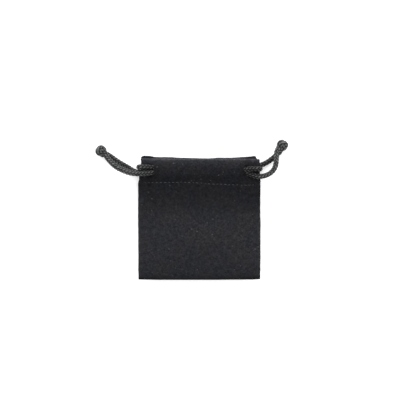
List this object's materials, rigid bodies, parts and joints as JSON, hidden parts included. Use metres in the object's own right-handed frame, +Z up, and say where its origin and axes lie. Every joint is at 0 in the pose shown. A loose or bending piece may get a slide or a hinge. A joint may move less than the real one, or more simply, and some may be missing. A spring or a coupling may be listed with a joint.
{
  "type": "drawstring dice bag",
  "caption": "Small square drawstring pouch of black velvet for game dice, with a stitched cord casing and knotted braided drawcords that pull the mouth shut from the sides.",
  "frame": {"origin": "centre of the flat area the back panel rests on, midway between the side seams", "axes": "+Z up out of the front face, +Y from the bottom seam towards the mouth, +X towards the right side seen from the front"},
  "size_m": [0.1221, 0.0878, 0.017],
  "materials": {
    "velvet": "short black velvet pile with a soft sheen along folds",
    "cord": "round braided polyester cord, charcoal, slightly shiny strands",
    "thread": "dark polyester sewing thread"
  },
  "bodies": {
    "pouch": {"front_panel": "velvet", "back_panel": "velvet", "front_hem": "velvet", "back_hem": "velvet", "front_casing": "velvet", "back_casing": "velvet", "front_casing_stitches": "thread", "back_casing_stitches": "thread", "left_seam_allowance": "velvet", "right_seam_allowance": "velvet", "bottom_seam_allowance": "velvet", "left_seam_thread": "thread", "right_seam_thread": "thread", "bottom_seam_thread": "thread"},
    "mouth_left": {"left_front_end": "velvet", "left_back_end": "velvet", "left_end_allowance": "velvet", "left_end_thread": "thread", "left_end_stitches": "thread"},
    "mouth_right": {"right_front_end": "velvet", "right_back_end": "velvet", "right_end_allowance": "velvet", "right_end_thread": "thread", "right_end_stitches": "thread"},
    "left_drawcord": {"left_cord": "cord"},
    "right_drawcord": {"right_cord": "cord"},
    "left_tail": {"left_cord_tails": "cord", "left_knot": "cord"},
    "right_tail": {"right_cord_tails": "cord", "right_knot": "cord"}
  },
  "joints": [
    {"name": "left_cord_pull", "type": "slide", "parent": "pouch", "child": "left_drawcord", "axis": [-1, 0, 0], "range_m": [0, 0.02]},
    {"name": "right_cord_pull", "type": "slide", "parent": "pouch", "child": "right_drawcord", "axis": [1, 0, 0], "range_m": [0, 0.02]},
    {"name": "mouth_right_gather", "type": "slide", "parent": "pouch", "child": "mouth_right", "axis": [-1, 0, 0], "range_m": [0, 0.02], "deforming": ["front_casing", "back_casing", "front_casing_stitches", "back_casing_stitches"]},
    {"name": "mouth_left_gather", "type": "slide", "parent": "pouch", "child": "mouth_left", "axis": [1, 0, 0], "range_m": [0, 0.02], "deforming": ["front_casing", "back_casing", "front_casing_stitches", "back_casing_stitches"]},
    {"name": "left_tail_swing", "type": "hinge", "parent": "left_drawcord", "child": "left_tail", "pos_m": [-0.0415, 0.029, 0.008], "axis": [0, 0, 1], "range_deg": [-35, 35]},
    {"name": "right_tail_swing", "type": "hinge", "parent": "right_drawcord", "child": "right_tail", "pos_m": [0.0415, 0.0305, 0.006], "axis": [0, 0, 1], "range_deg": [-35, 35]}
  ],
  "couplings": [
    {"joint": "mouth_right_gather", "follows": "left_cord_pull", "ratio": 1},
    {"joint": "mouth_left_gather", "follows": "right_cord_pull", "ratio": 1}
  ]
}
